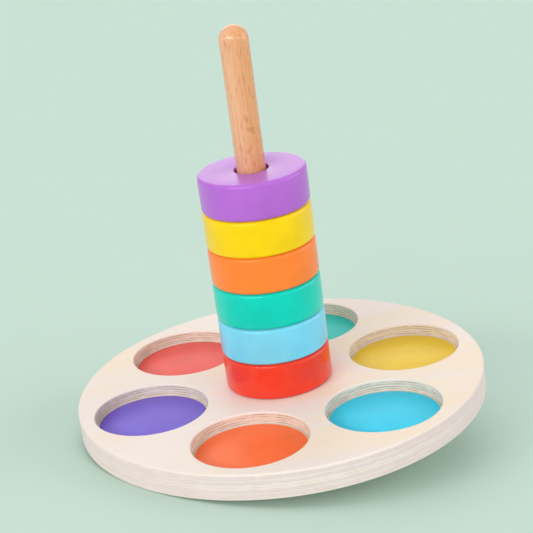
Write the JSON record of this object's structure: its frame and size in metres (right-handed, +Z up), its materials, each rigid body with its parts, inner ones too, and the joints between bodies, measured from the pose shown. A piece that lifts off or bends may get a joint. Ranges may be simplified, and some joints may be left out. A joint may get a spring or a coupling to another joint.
{
  "type": "balance-board ring stacking puzzle",
  "caption": "Round plywood board leaning on a half-ball foot, with a central peg that holds a stack of equal coloured rings and a pocket of matching colour for each ring.",
  "frame": {"origin": "on the table, under the middle of the object's box in X and Y", "axes": "+Z up from the table; the board leans down towards -X until its rim touches the table, and is symmetric about the XZ plane"},
  "size_m": [0.2284, 0.23, 0.2365],
  "materials": {
    "birch_plywood": "clear matt, layered at the edge",
    "beech": "smooth, clear satin",
    "floor_red": "smooth matt paint",
    "floor_orange": "smooth matt paint",
    "floor_yellow": "smooth matt paint",
    "floor_teal": "smooth matt paint",
    "floor_blue": "smooth matt paint",
    "floor_purple": "smooth matt paint",
    "lacquer_red": "opaque satin lacquer",
    "lacquer_blue": "opaque satin lacquer",
    "lacquer_teal": "opaque satin lacquer",
    "lacquer_orange": "opaque satin lacquer",
    "lacquer_yellow": "opaque satin lacquer",
    "lacquer_purple": "opaque satin lacquer"
  },
  "bodies": {
    "board": {"top_board": "birch_plywood", "backing_board": "birch_plywood", "floor_red": "floor_red", "floor_orange": "floor_orange", "floor_yellow": "floor_yellow", "floor_teal": "floor_teal", "floor_blue": "floor_blue", "floor_purple": "floor_purple", "foot": "beech", "foot_dowels": "beech"},
    "peg": {"peg": "beech"},
    "ring_red": {"ring_red": "lacquer_red"},
    "ring_blue": {"ring_blue": "lacquer_blue"},
    "ring_teal": {"ring_teal": "lacquer_teal"},
    "ring_orange": {"ring_orange": "lacquer_orange"},
    "ring_yellow": {"ring_yellow": "lacquer_yellow"},
    "ring_purple": {"ring_purple": "lacquer_purple"}
  },
  "joints": [
    {"name": "peg_pull", "type": "slide", "parent": "board", "child": "peg", "axis": [-0.1857, 0, 0.9826], "range_m": [0, 0.03]},
    {"name": "ring_red_lift", "type": "slide", "parent": "board", "child": "ring_red", "axis": [-0.1857, 0, 0.9826], "range_m": [0, 0.2089]},
    {"name": "ring_blue_lift", "type": "slide", "parent": "ring_red", "child": "ring_blue", "axis": [-0.1857, 0, 0.9826], "range_m": [0, 0.1881]},
    {"name": "ring_teal_lift", "type": "slide", "parent": "ring_blue", "child": "ring_teal", "axis": [-0.1857, 0, 0.9826], "range_m": [0, 0.1673]},
    {"name": "ring_orange_lift", "type": "slide", "parent": "ring_teal", "child": "ring_orange", "axis": [-0.1857, 0, 0.9826], "range_m": [0, 0.1465]},
    {"name": "ring_yellow_lift", "type": "slide", "parent": "ring_orange", "child": "ring_yellow", "axis": [-0.1857, 0, 0.9826], "range_m": [0, 0.1257]},
    {"name": "ring_purple_lift", "type": "slide", "parent": "ring_yellow", "child": "ring_purple", "axis": [-0.1857, 0, 0.9826], "range_m": [0, 0.1049]}
  ]
}
